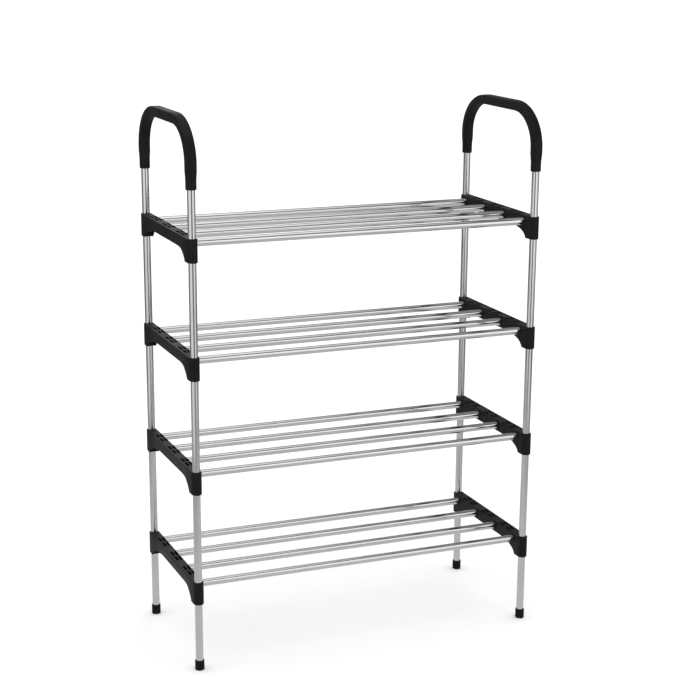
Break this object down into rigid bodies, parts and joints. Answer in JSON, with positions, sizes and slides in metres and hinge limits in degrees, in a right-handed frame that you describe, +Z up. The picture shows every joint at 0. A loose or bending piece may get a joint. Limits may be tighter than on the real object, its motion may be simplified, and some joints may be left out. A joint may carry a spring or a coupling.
{
  "type": "shoe rack",
  "caption": "Free-standing tiered shoe rack of bright steel tubes pushed into black plastic end brackets, with a loop handle over each end and a black cap under each post",
  "frame": {"origin": "centre of the footprint, on the floor under the four foot caps", "axes": "+X along the shelf tubes to the right, +Y from the front to the rear, +Z up"},
  "size_m": [0.6174, 0.2754, 0.9115],
  "materials": {
    "steel_tube": "bright drawn stainless tube, polished along its length",
    "black_plastic": "black moulded plastic with a soft satin skin",
    "black_rubber": "dull black soft plastic cap"
  },
  "bodies": {
    "root": {"foot_cap_front_left": "black_rubber", "leg_tube_front_left": "steel_tube", "spacer_tube_1_front_left": "steel_tube", "spacer_tube_2_front_left": "steel_tube", "spacer_tube_3_front_left": "steel_tube", "handle_tube_front_left": "steel_tube", "foot_cap_rear_left": "black_rubber", "leg_tube_rear_left": "steel_tube", "spacer_tube_1_rear_left": "steel_tube", "spacer_tube_2_rear_left": "steel_tube", "spacer_tube_3_rear_left": "steel_tube", "handle_tube_rear_left": "steel_tube", "foot_cap_front_right": "black_rubber", "leg_tube_front_right": "steel_tube", "spacer_tube_1_front_right": "steel_tube", "spacer_tube_2_front_right": "steel_tube", "spacer_tube_3_front_right": "steel_tube", "handle_tube_front_right": "steel_tube", "foot_cap_rear_right": "black_rubber", "leg_tube_rear_right": "steel_tube", "spacer_tube_1_rear_right": "steel_tube", "spacer_tube_2_rear_right": "steel_tube", "spacer_tube_3_rear_right": "steel_tube", "handle_tube_rear_right": "steel_tube", "bracket_1_left": "black_plastic", "bracket_1_right": "black_plastic", "bracket_2_left": "black_plastic", "bracket_2_right": "black_plastic", "bracket_3_left": "black_plastic", "bracket_3_right": "black_plastic", "bracket_4_left": "black_plastic", "bracket_4_right": "black_plastic", "shelf_1_tube_1": "steel_tube", "shelf_1_tube_2": "steel_tube", "shelf_1_tube_3": "steel_tube", "shelf_1_tube_4": "steel_tube", "shelf_2_tube_1": "steel_tube", "shelf_2_tube_2": "steel_tube", "shelf_2_tube_3": "steel_tube", "shelf_2_tube_4": "steel_tube", "shelf_3_tube_1": "steel_tube", "shelf_3_tube_2": "steel_tube", "shelf_3_tube_3": "steel_tube", "shelf_3_tube_4": "steel_tube", "shelf_4_tube_1": "steel_tube", "shelf_4_tube_2": "steel_tube", "shelf_4_tube_3": "steel_tube", "shelf_4_tube_4": "steel_tube", "handle_left": "black_plastic", "handle_right": "black_plastic"}
  },
  "joints": []
}
